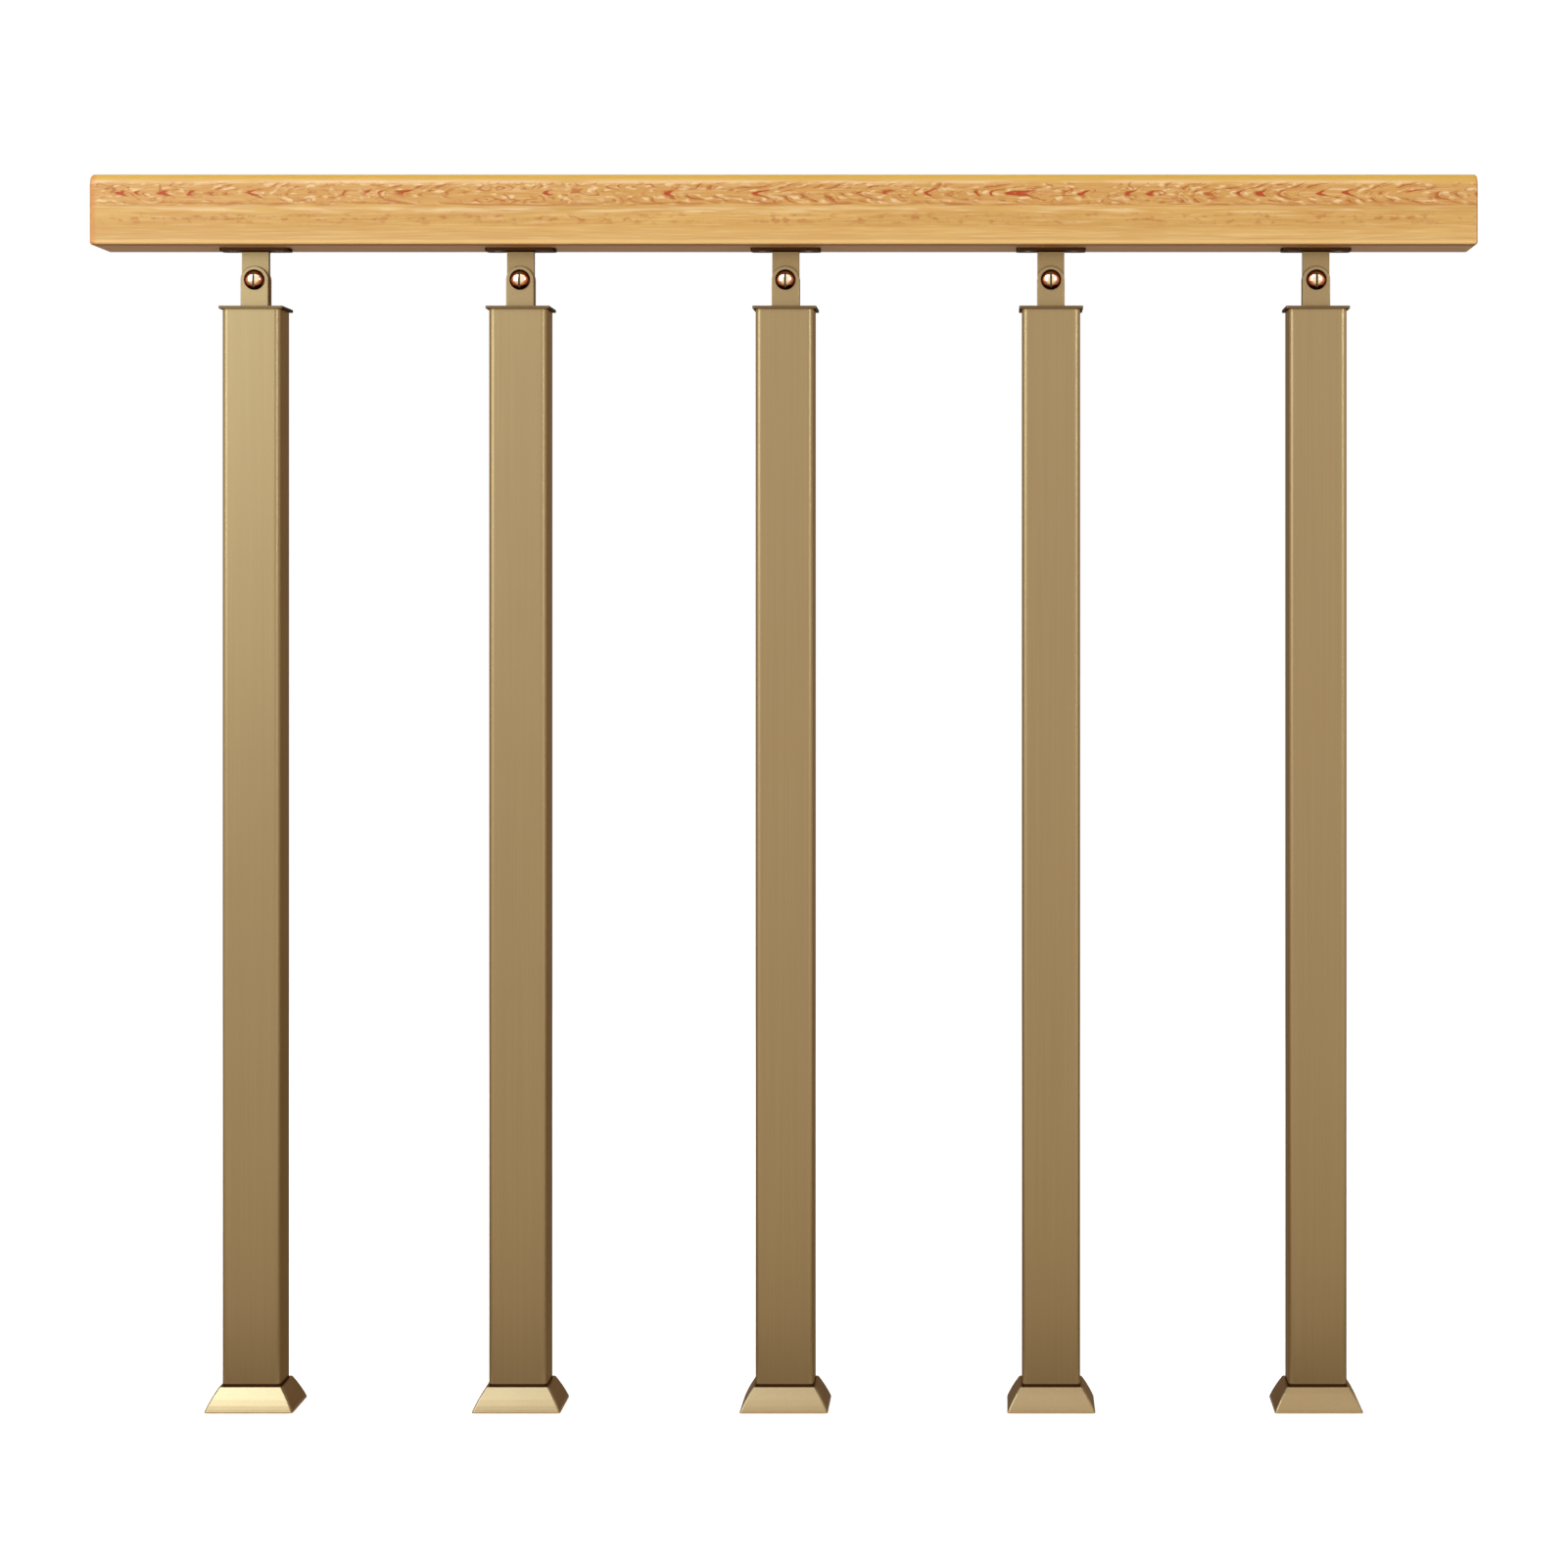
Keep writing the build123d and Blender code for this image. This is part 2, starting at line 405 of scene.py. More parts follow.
@dataclass(frozen=True)
class EndGrain:
    """Growth rings on the sawn ends, as arcs about a heart above the rail. Lengths are in millimetres."""

    heart_depth: float = -18.0
    heart_height: float = 26.0
    spacing: float = 3.4
    wander: float = 5.0
    wander_noise: Noise = Noise(20.0, 14.0, 2.0)
    ring_line: Fade = Fade(-0.3, 1.0, 0.6)
    sawn: Fade = Fade(-0.4, -0.1)

    def build(self, rail: RailGrid) -> Source:
        """Draw the rings.

        Args:
            rail: the rail's coordinates.

        Returns:
            The rings' weight.
        """
        tree = rail.tree
        heart = (0.0, self.heart_depth, self.heart_height)
        flat = add_node(tree, "ShaderNodeCombineXYZ", {1: rail.depth, 2: rail.height})
        to_heart = add_node(tree, "ShaderNodeVectorMath", {0: flat, 1: heart}, operation="DISTANCE")
        wander = self.wander_noise.value(rail)
        shift = {0: wander, 1: self.wander, 2: to_heart.outputs["Value"]}
        shifted = add_node(tree, "ShaderNodeMath", shift, operation="MULTIPLY_ADD")
        phase = add_node(
            tree, "ShaderNodeMath", {0: shifted, 1: 2 * math.pi / self.spacing}, operation="MULTIPLY"
        )
        wave = add_node(tree, "ShaderNodeMath", {0: phase}, operation="SINE")
        rings = self.ring_line.weight(tree, wave)
        return add_node(tree, "ShaderNodeMath", {0: rings, 1: rail.ends(self.sawn)}, operation="MULTIPLY")


@dataclass(frozen=True)
class LacqueredWood:
    """Honey-coloured hardwood, planed and clear lacquered.

    The board was cut beside the heart of the log, which gives the eye a band of nested red-brown arrowheads
    along the upper front edge, with dark heart flecks on its middle line. Below the band the ground is calm
    and tan, with a dark streak, a pale one and short brown pores, and a painted pale sheen just below the
    top.
    The rounded upper edges carry a painted golden highlight, the lower edges a painted pale highlight line,
    and the underside's edges a painted shade. The lacquer is darker at the ends. It adds a soft gloss.
    Lengths are in millimetres.
    """

    honey: str = "#D2A456"
    pale: str = "#DDB262"
    blush: str = "#D4A054"
    ring: str = "#B25C1A"
    early_wood: str = "#F5DAA4"
    heart: str = "#B64208"
    pore: str = "#BE7638"
    # painted sheen: a pale streak just below the top edge, where the lacquer's highlight falls
    painted_sheen: str = "#EBC690"
    # painted highlight on the rounded upper edges
    painted_top_highlight: str = "#DCAE48"
    # painted highlight line along the lower edges
    painted_lower_highlight: str = "#FFD588"
    end_amber: str = "#D88A3A"
    # painted shade along the underside's edges
    painted_underside_shade: str = "#844A1C"
    end_ring: str = "#B5763A"
    fibre: Noise = Noise(30.0, 1.1, 4.0)
    fibre_depth: float = 0.15
    dark_fibre: Fade = Fade(0.50, 0.74, 0.30)
    pale_fibre: Fade = Fade(0.48, 0.30, 0.30)
    tone: Patches = Patches(Noise(170.0, 7.0, 2.0), Fade(0.36, 0.64))
    hue: Patches = Patches(Noise(48.0, 6.0, 2.0), Fade(0.42, 0.66, 0.5))
    low_ground: Fade = Fade(-34.0, -44.0, 0.12)
    # the painted sheen's line, just below the top
    painted_sheen_streak: Streak = Streak(Noise(70.0, 9.0, 2.0), Fade(0.38, 0.60, 0.8), -5.8, 2.2)
    dark_streak: Streak = Streak(Noise(26.0, 1.3, 2.0), Fade(0.42, 0.62, 0.7), -7.4, 2.4)
    pale_streak: Streak = Streak(Noise(38.0, 2.2, 2.0), Fade(0.46, 0.64, 0.6), -11.6, 3.4)
    pore_streak: Streak = Streak(Noise(6.0, 2.4, 2.0), Fade(0.50, 0.72, 0.8), -17.5, 6.5)
    band_depth: float = 13.5
    band_lean: float = 0.25
    band_reach: Fade = Fade(9.1, 5.2)
    band_ground: Fade = Fade(0.0, 1.0, 0.85)
    top_band_y: float = 4.0
    top_skin: float = 1.5
    arrowheads: Arrowheads = Arrowheads()
    # where the painted highlight on the upper edges lies
    rounded_sides: Fade = Fade(-14.0, -6.0)
    rounded_heights: Fade = Fade(-5.2, -3.4, 0.75)
    # where the painted shade along the underside's edges lies
    under_sides: Fade = Fade(-13.0, -5.0)
    under_heights: Fade = Fade(0.9, 0.4, 0.7)
    # where the painted highlight line on the lower edges lies
    lower_highlight_sides: Fade = Fade(-1.2, -0.5)
    lower_highlight_heights: Fade = Fade(4.4, 1.4, 0.9)
    end_reach: Fade = Fade(-4.5, 0.5, 0.7)
    end_lean: float = 3.0
    end_grain: EndGrain = EndGrain()

    def build(self, low: Vector, high: Vector) -> bpy.types.Material:
        """Make the material.

        Args:
            low: the rail's lowest corner.
            high: the rail's highest corner.

        Returns:
            The finished material.
        """
        material, tree, place = new_material("lacquered_wood")
        lift = (0, 0, -high.z / MM)
        grid = add_node(tree, "ShaderNodeMapping", {0: place, "Location": lift, "Scale": (1 / MM,) * 3})
        along, depth, height = add_node(tree, "ShaderNodeSeparateXYZ", {0: grid}).outputs
        underside = (low.z - high.z) / MM
        rail = RailGrid(tree, grid, along, depth, height, high.x / MM, high.y / MM, underside)

        fibres = self.fibre.value(rail)
        colour = linear(self.honey)
        for weight, shade in self.layers(rail, fibres):
            colour = add_node(
                tree, "ShaderNodeMix", {0: weight, 6: colour, 7: linear(shade)}, data_type="RGBA"
            ).outputs[2]
        relief = {"Strength": 0.1, "Distance": self.fibre_depth * MM, "Height": fibres}
        grain = add_node(tree, "ShaderNodeBump", relief)
        shader = add_node(
            tree,
            "ShaderNodeBsdfPrincipled",
            {
                "Base Color": colour,
                "Roughness": 0.45,
                "IOR": 1.5,
                "Specular IOR Level": 0.3,
                "Coat Weight": 0.1,
                "Coat Roughness": 0.22,
                "Normal": grain,
            },
        )
        end_material(tree, shader)
        return material

    def layers(self, rail: RailGrid, fibres: Source) -> list[tuple[Source, str]]:
        """Every layer of colour over the honey ground, lowest first.

        Args:
            rail: the rail's coordinates.
            fibres: the value of the fine fibres.

        Returns:
            Each layer's weight and its shade.
        """
        tree = rail.tree
        lean = {0: rail.depth, 1: self.band_lean, 2: rail.height}
        leaning = add_node(tree, "ShaderNodeMath", lean, operation="MULTIPLY_ADD")
        drop = self.band_depth + self.band_lean * rail.half_width
        front = add_node(tree, "ShaderNodeMath", {0: leaning, 1: drop})
        above = add_node(tree, "ShaderNodeMath", {0: rail.depth, 1: self.top_band_y}, operation="SUBTRACT")
        on_top = add_node(
            tree, "ShaderNodeMath", {0: rail.height, 1: -self.top_skin}, operation="GREATER_THAN"
        )
        front_band = self.band(tree, front)
        top_band = add_node(
            tree, "ShaderNodeMath", {0: self.band(tree, above), 1: on_top}, operation="MULTIPLY"
        )
        front_early, front_rings, front_hearts = self.arrowheads.build(rail, front, front_band)
        top_early, top_rings, top_hearts = self.arrowheads.build(rail, above, top_band)
        under_heights = self.under_heights.counted_from(rail.underside)
        lower_highlight_heights = self.lower_highlight_heights.counted_from(rail.underside)
        return [
            (self.tone.weight(rail), self.pale),
            (self.hue.weight(rail), self.blush),
            (self.band_ground.weight(tree, front_band), self.blush),
            (self.dark_fibre.weight(tree, fibres), self.pore),
            (self.pale_fibre.weight(tree, fibres), self.early_wood),
            (self.low_ground.weight(tree, rail.height), self.early_wood),
            # painted sheen just below the top edge
            (self.painted_sheen_streak.on_line(rail, rail.height), self.painted_sheen),
            (self.pale_streak.on_line(rail, front), self.early_wood),
            (self.dark_streak.on_line(rail, front), self.ring),
            (self.pore_streak.on_line(rail, front), self.pore),
            (front_early, self.early_wood),
            (top_early, self.early_wood),
            (front_rings, self.ring),
            (top_rings, self.ring),
            (front_hearts, self.heart),
            (top_hearts, self.heart),
            # painted highlight on the rounded upper edges
            (rail.long_edges(self.rounded_sides, self.rounded_heights), self.painted_top_highlight),
            # painted shade along the underside's edges
            (rail.long_edges(self.under_sides, under_heights), self.painted_underside_shade),
            # painted highlight line along the lower edges
            (rail.long_edges(self.lower_highlight_sides, lower_highlight_heights), self.painted_lower_highlight),
            (rail.ends(self.end_reach, self.end_lean), self.end_amber),
            (self.end_grain.build(rail), self.end_ring),
        ]

    def band(self, tree: Tree, across: Source) -> Source:
        """Weight of the figured band, from the signed distance to its middle line."""
        distance = add_node(tree, "ShaderNodeMath", {0: across}, operation="ABSOLUTE")
        return self.band_reach.weight(tree, distance)


class Grain(Enum):
    """How a metal piece was made, as the sizes in millimetres of its marks along X, Y and Z."""

    EXTRUDED = (1.4, 1.4, 160.0)
    CAST = (1.8, 1.8, 1.8)
    TURNED = (3.0, 3.0, 3.0)


@dataclass(frozen=True)
class SatinMetal:
    """Metal with a clear satin surface: a broad soft sheen, and faint marks from how it was made.

    The edge shade shows at glancing angles. Between given heights the colour is darkened by a painted shade,
    which stands in for the shadow where the piece meets the next part. The marks are drawn several times
    coarser than the real ones, which are too fine to show. Lengths are in millimetres.
    """

    name: str
    shade: str
    grain: Grain
    edge: str = "#6B5236"
    roughness: float = 0.38
    mark_contrast: float = 0.03
    mark_depth: float = 0.02
    coat: float = 0.0
    rough_spread: float = 0.08
    cloud_size: float = 70.0
    # painted shade: the colour that stands in for the shadow where the piece meets the next part
    painted_shade: str = "#4E2E16"

    def build(self, dark: tuple[float, float] | None = None) -> bpy.types.Material:
        """Make the material.

        Args:
            dark: the heights in metres between which a painted shade darkens the metal, or None where it is
                all one shade.

        Returns:
            The finished material.
        """
        material, tree, place = new_material(self.name)
        scale = tuple(1 / (size * MM) for size in self.grain.value)
        drawn = add_node(tree, "ShaderNodeMapping", {0: place, "Scale": scale})
        marks = add_node(tree, "ShaderNodeTexNoise", {"Vector": drawn, "Scale": 1.0, "Detail": 3.0})
        cloud_scale = 1 / (self.cloud_size * MM)
        cloud = add_node(tree, "ShaderNodeTexNoise", {"Vector": place, "Scale": cloud_scale, "Detail": 2.0})
        faintest, strongest = 1 - self.mark_contrast, 1 + self.mark_contrast
        value = add_node(
            tree, "ShaderNodeMapRange", {0: marks, 1: NOISE_LOW, 2: NOISE_HIGH, 3: faintest, 4: strongest}
        )
        shade = linear(self.shade)
        # painted shade: between the given heights the metal is darkened, standing in for the shadow at the
        # joint
        if dark is not None:
            bottom, top = dark
            height = add_node(tree, "ShaderNodeSeparateXYZ", {0: place}).outputs[2]
            zone = {0: height, 1: (bottom + top) / 2, 2: (top - bottom) / 2}
            inside = add_node(tree, "ShaderNodeMath", zone, operation="COMPARE")
            shade = add_node(
                tree, "ShaderNodeMix", {0: inside, 6: shade, 7: linear(self.painted_shade)}, data_type="RGBA"
            ).outputs[2]
        tint = add_node(tree, "ShaderNodeHueSaturation", {"Value": value, "Color": shade})
        smoothest = self.roughness * (1 - self.rough_spread)
        roughest = self.roughness * (1 + self.rough_spread)
        rough = add_node(
            tree, "ShaderNodeMapRange", {0: cloud, 1: NOISE_LOW, 2: NOISE_HIGH, 3: smoothest, 4: roughest}
        )
        bump = add_node(
            tree, "ShaderNodeBump", {"Strength": 0.15, "Distance": self.mark_depth * MM, "Height": marks}
        )
        shader = add_node(
            tree,
            "ShaderNodeBsdfPrincipled",
            {
                "Base Color": tint,
                "Metallic": 1.0,
                "Roughness": rough,
                "Specular Tint": linear(self.edge),
                "Coat Weight": self.coat,
                "Coat Roughness": 0.3,
                "Normal": bump,
            },
        )
        end_material(tree, shader)
        return material


@dataclass(frozen=True)
class BrassWithPaintedGlint:
    """Turned brass of the bolt heads, with painted light: a near-white crown, red-brown and then dark
    towards the rim.

    The near-white crown is a painted highlight, and the copper and dark rings round it are painted
    reflections, which give the eye a white glint inside a dark ring, parted by a painted shade in the slot.
    The rings left by the lathe are drawn coarser than the real ones. Lengths are in millimetres.
    """

    # painted highlight: the crown's near-white colour stands in for a glint
    crown: str = "#FFE6C0"
    # painted reflections: the copper ring and the dark rim stand in for what the dome reflects
    copper: str = "#C4724A"
    rim: str = "#54200C"
    crown_radius: float = 3.2
    copper_radius: float = 4.7
    rim_radius: float = 6.2
    crown_rise: float = 0.7
    # painted shade in the bolt's slot
    painted_slot_shade: str = "#4E4028"
    slot_half: float = 0.7
    turning_pitch: float = 0.7
    turning_depth: float = 0.004
    roughness: float = 0.12

    def build(self, pitch: float, pivot_height: float) -> bpy.types.Material:
        """Make the material.

        Args:
            pitch: distance from one bolt to the next along X, in metres.
            pivot_height: height of the bolts' axes, in metres.

        Returns:
            The finished material.
        """
        material, tree, place = new_material("brass_with_painted_glint")
        across, depth, height = add_node(tree, "ShaderNodeSeparateXYZ", {0: place}).outputs
        nearest = add_node(tree, "ShaderNodeMath", {0: across, 1: pitch / 2}, operation="PINGPONG")
        crown_height = pivot_height + self.crown_rise * MM
        above = add_node(tree, "ShaderNodeMath", {0: height, 1: crown_height}, operation="SUBTRACT")
        flat = add_node(tree, "ShaderNodeCombineXYZ", {0: nearest, 1: above})
        length = add_node(tree, "ShaderNodeVectorMath", {0: flat}, operation="LENGTH").outputs["Value"]
        radius = add_node(tree, "ShaderNodeMath", {0: length, 1: 1 / MM}, operation="MULTIPLY")
        # mask of the painted shade in the slot, on the front of the head
        narrow = add_node(
            tree, "ShaderNodeMath", {0: nearest, 1: self.slot_half * MM}, operation="LESS_THAN"
        )
        front = add_node(tree, "ShaderNodeMath", {0: depth, 1: 0.0}, operation="LESS_THAN")
        slot = add_node(tree, "ShaderNodeMath", {0: narrow, 1: front}, operation="MULTIPLY")
        # the white glint, the rings round it and the dark slot are painted light and shade
        colour = linear(self.crown)
        for weight, shade in (
            (Fade(self.crown_radius, self.copper_radius).weight(tree, radius), self.copper),
            (Fade(self.copper_radius, self.rim_radius).weight(tree, radius), self.rim),
            (slot, self.painted_slot_shade),
        ):
            colour = add_node(
                tree, "ShaderNodeMix", {0: weight, 6: colour, 7: linear(shade)}, data_type="RGBA"
            ).outputs[2]
        phase = add_node(
            tree, "ShaderNodeMath", {0: radius, 1: 2 * math.pi / self.turning_pitch}, operation="MULTIPLY"
        )
        rings = add_node(tree, "ShaderNodeMath", {0: phase}, operation="SINE")
        bump = add_node(
            tree, "ShaderNodeBump", {"Strength": 0.3, "Distance": self.turning_depth * MM, "Height": rings}
        )
        shader = add_node(
            tree,
            "ShaderNodeBsdfPrincipled",
            {
                "Base Color": colour,
                "Metallic": 1.0,
                "Roughness": self.roughness,
                "Specular Tint": linear(self.rim),
                "Normal": bump,
            },
        )
        end_material(tree, shader)
        return material


@dataclass(frozen=True)
class Finishes:
    """Every finish of the railing, built once and shared."""

    wood: bpy.types.Material
    tube: bpy.types.Material
    cast: bpy.types.Material
    cap: bpy.types.Material
    bracket: bpy.types.Material
    core: bpy.types.Material
    brass: bpy.types.Material
    bolt: bpy.types.Material

    @classmethod
    def build(
        cls, plate_thickness: float, foot_line: float = 2.0 * MM, plate_line: float = 0.5 * MM
    ) -> "Finishes":
        """Make every finish, in its place on the CAD nodes.

        Args:
            plate_thickness: thickness of the rail brackets' plates.
            foot_line: how far the painted shade at each foot reaches above and below the cover's rim.
            plate_line: how far the painted shade under the rail reaches below the plates.

        Returns:
            The finishes.
        """
        rail_low, rail_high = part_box("handrail")
        bolt_low, bolt_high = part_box("pivot_bolt_3")
        next_bolt_low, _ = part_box("pivot_bolt_4")
        _, cover_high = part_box("foot_cover_3")
        # heights of the painted shade where each tube enters its foot cover, and on the brackets' plates
        # under the rail
        foot_painted_shade = (cover_high.z - foot_line, cover_high.z + foot_line)
        plate_painted_shade = (rail_low.z - plate_thickness - plate_line, rail_high.z)
        satin = "#A3875E"
        tube = SatinMetal("anodised_aluminium_tube", satin, Grain.EXTRUDED, "#A9916B", coat=0.2)
        cast = SatinMetal("anodised_aluminium_casting", satin, Grain.CAST, "#8E7452", coat=0.2)
        cap = SatinMetal("anodised_aluminium_cap", "#755B3A", Grain.CAST, "#2A1E12", coat=0.1)
        bracket = SatinMetal("anodised_aluminium_bracket", satin, Grain.CAST, "#2E2016", coat=0.1)
        core = SatinMetal("raw_aluminium_casting", "#8F8F8C", Grain.CAST, "#FFFFFF", 0.5, 0.06, 0.08)
        brass = SatinMetal("polished_brass", "#E0B482", Grain.TURNED, "#8A4A22", 0.1, 0.01, 0.002)
        return cls(
            wood=LacqueredWood().build(rail_low, rail_high),
            tube=tube.build(foot_painted_shade),
            cast=cast.build(),
            cap=cap.build(),
            bracket=bracket.build(plate_painted_shade),
            core=core.build(),
            brass=brass.build(),
            bolt=BrassWithPaintedGlint().build(next_bolt_low.x - bolt_low.x, (bolt_low.z + bolt_high.z) / 2),
        )


def dress(node: bpy.types.Object, material: bpy.types.Material) -> None:
    """Give a CAD node its finish.

    Args:
        node: the CAD node's object.
        material: the finish.
    """
    node.data.materials.clear()
    node.data.materials.append(material)
    log.info("dressed %s in %s", node.name, material.name)


def mesh_object(name: str, mesh: bmesh.types.BMesh) -> bpy.types.Object:
    """Turn a bmesh into an object in the scene.

    Args:
        name: the piece's name.
        mesh: its shape, which is freed.

    Returns:
        The object.
    """
    data = bpy.data.meshes.new(name)
    mesh.to_mesh(data)
    mesh.free()
    piece = bpy.data.objects.new(name, data)
    bpy.context.scene.collection.objects.link(piece)
    return piece


@dataclass
class WoodScrew:
    """Countersunk wood screw with a cross recess, driven up through the rail bracket's plate."""

    head_radius: float = 3.55 * MM
    neck_radius: float = 2.0 * MM
    head_height: float = 1.78 * MM
    core_radius: float = 1.45 * MM
    neck_height: float = 0.2 * MM
    core_length: float = 17.0 * MM
    tip_length: float = 3.0 * MM
    tip_radius: float = 0.2 * MM
    arm_width: float = 1.1 * MM
    arm_reach: float = 2.2 * MM
    recess_depth: float = 0.9 * MM
    recess_taper: float = 0.7
    sides: int = 32
    slot: str = "bright_brass"

    def build(self, name: str, place: Vector, turn: float) -> bpy.types.Object:
        """Model the screw, head down.

        Args:
            name: the piece's name.
            place: the middle of the head's flat face.
            turn: the recess's angle about the screw's axis, in radians.

        Returns:
            The screw's object.
        """
        mesh = bmesh.new()
        bmesh.ops.create_circle(mesh, cap_ends=True, segments=self.sides, radius=self.head_radius)
        faces = mesh.faces[:]
        old_radius = self.head_radius
        for radius, rise in (
            (self.neck_radius, self.head_height),
            (self.neck_radius, self.neck_height),
            (self.core_radius, self.neck_height),
            (self.core_radius, self.core_length),
            (self.tip_radius, self.tip_length),
        ):
            faces = bmesh.ops.extrude_discrete_faces(mesh, faces=faces)["faces"]
            share = radius / old_radius
            bmesh.ops.scale(mesh, vec=(share, share, 1), verts=faces[0].verts[:])
            bmesh.ops.translate(mesh, vec=(0, 0, rise), verts=faces[0].verts[:])
            old_radius = radius
        bmesh.ops.contextual_create(mesh, geom=[e for e in mesh.edges if e.is_boundary])
        self.cut_recess(mesh)
        bmesh.ops.recalc_face_normals(mesh, faces=mesh.faces[:])
        spin = Matrix.Rotation(turn, 3, "Z")
        bmesh.ops.rotate(mesh, cent=(0, 0, 0), matrix=spin, verts=mesh.verts[:])
        bmesh.ops.translate(mesh, vec=place, verts=mesh.verts[:])
        return mesh_object(name, mesh)

    def cut_recess(self, mesh: bmesh.types.BMesh) -> None:
        """Sink a cross into the flat face at z = 0.

        Args:
            mesh: the screw so far.
        """
        half = self.arm_width / 2
        for normal in (Vector((1, 0, 0)), Vector((0, 1, 0))):
            for reach in (-self.arm_reach, -half, half, self.arm_reach):
                flat = [f for f in mesh.faces if self.is_flat(f)]
                geometry = flat + list({part for f in flat for part in (*f.edges, *f.verts)})
                cut = normal * reach
                bmesh.ops.bisect_plane(mesh, geom=geometry, dist=FLAT, plane_co=cut, plane_no=normal)
        cross = [f for f in mesh.faces if self.in_cross(f)]
        grown = bmesh.ops.extrude_face_region(mesh, geom=cross)
        floor = [v for v in grown["geom"] if isinstance(v, bmesh.types.BMVert)]
        bmesh.ops.delete(mesh, geom=cross, context="FACES_ONLY")
        bmesh.ops.translate(mesh, vec=(0, 0, self.recess_depth), verts=floor)
        bmesh.ops.scale(mesh, vec=(self.recess_taper, self.recess_taper, 1), verts=floor)

    def is_flat(self, face: bmesh.types.BMFace) -> bool:
        """Whether a face lies in the head's flat face."""
        return all(abs(v.co.z) < FLAT for v in face.verts)

    def in_cross(self, face: bmesh.types.BMFace) -> bool:
        """Whether a face of the flat lies inside the cross.

        Args:
            face: a face of the screw.

        Returns:
            True inside the cross.
        """
        place = face.calc_center_median()
        x, y = abs(place.x), abs(place.y)
        return self.is_flat(face) and max(x, y) < self.arm_reach and min(x, y) < self.arm_width / 2


@dataclass
class Handrail:
    """The wooden rail."""

    frame: dict
    finishes: Finishes

    def build(self) -> None:
        """Dress the rail's node."""
        dress(self.frame["nodes"]["handrail"], self.finishes.wood)


@dataclass
class Post:
    """One upright: tube, foot core, foot cover and cap."""

    frame: dict
    finishes: Finishes
    number: int

    def build(self) -> None:
        """Dress the upright's nodes."""
        nodes = self.frame["nodes"]
        dress(nodes[f"post_{self.number}"], self.finishes.tube)
        dress(nodes[f"foot_cover_{self.number}"], self.finishes.cast)
        dress(nodes[f"top_cap_{self.number}"], self.finishes.cap)
        dress(nodes[f"foot_core_{self.number}"], self.finishes.core)


@dataclass
class Knuckle:
    """One pivot: fork, rail bracket, bolt, nut and the bracket's two wood screws.

    No two screws stop at the same angle. The turns are in radians.
    """

    frame: dict
    finishes: Finishes
    number: int
    plate_thickness: float = 2.0 * MM
    screw_pitch: float = 32.0 * MM
    screw_sink: float = 0.1 * MM
    turn_by_number: float = 0.9
    turn_by_side: float = 0.6
    screw: WoodScrew = field(default_factory=WoodScrew)

    def build(self) -> None:
        """Dress the knuckle's nodes and add its screws."""
        nodes = self.frame["nodes"]
        dress(nodes[f"fork_{self.number}"], self.finishes.cast)
        dress(nodes[f"rail_bracket_{self.number}"], self.finishes.bracket)
        dress(nodes[f"pivot_bolt_{self.number}"], self.finishes.bolt)
        dress(nodes[f"pivot_nut_{self.number}"], self.finishes.brass)
        self.add_screws()

    def add_screws(self) -> None:
        """Drive one screw through each end of the bracket's plate."""
        low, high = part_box(f"rail_bracket_{self.number}")
        middle = (low.x + high.x) / 2
        rail_low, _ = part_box("handrail")
        head = rail_low.z - self.plate_thickness + self.screw_sink
        for side, end in ((-1, "left"), (1, "right")):
            place = Vector((middle + side * self.screw_pitch / 2, 0.0, head))
            turn = self.turn_by_number * self.number + self.turn_by_side * side
            screw = self.screw.build(f"bracket_screw_{self.number}_{end}", place, turn)
            screw.data.materials.append(self.finishes.brass)
            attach(screw, "handrail")
            log.info("added %s", screw.name)


@dataclass
class Camera:
    """The photograph's viewpoint, as a shifted lens that looks straight along Y.

    The vanishing point, the focal length, the posts' middle and the scale at their front faces are in the
    photograph's pixels. The sensor is in millimetres, and the rest in metres.
    """

    image_size: float = 1601.0
    vanishing_x: float = 1020.0
    vanishing_y: float = 620.0
    focal: float = 4167.0
    centre_x: float = 800.9
    pixels_per_metre: float = 1484.5
    distance: float = 2.827
    height: float = 0.55265
    sensor: float = 36.0

    def build(self) -> None:
        """Place the camera."""
        data = bpy.data.cameras.new("camera")
        data.sensor_width = self.sensor
        data.lens = self.focal / self.image_size * self.sensor
        data.shift_x = (self.image_size / 2 - self.vanishing_x) / self.image_size
        data.shift_y = (self.vanishing_y - self.image_size / 2) / self.image_size
        camera = bpy.data.objects.new("camera", data)
        bpy.context.scene.collection.objects.link(camera)
        offset = (self.vanishing_x - self.centre_x) / self.pixels_per_metre
        camera.location = (offset, -self.distance, self.height)
        camera.rotation_euler = (math.pi / 2, 0, 0)
        bpy.context.scene.camera = camera


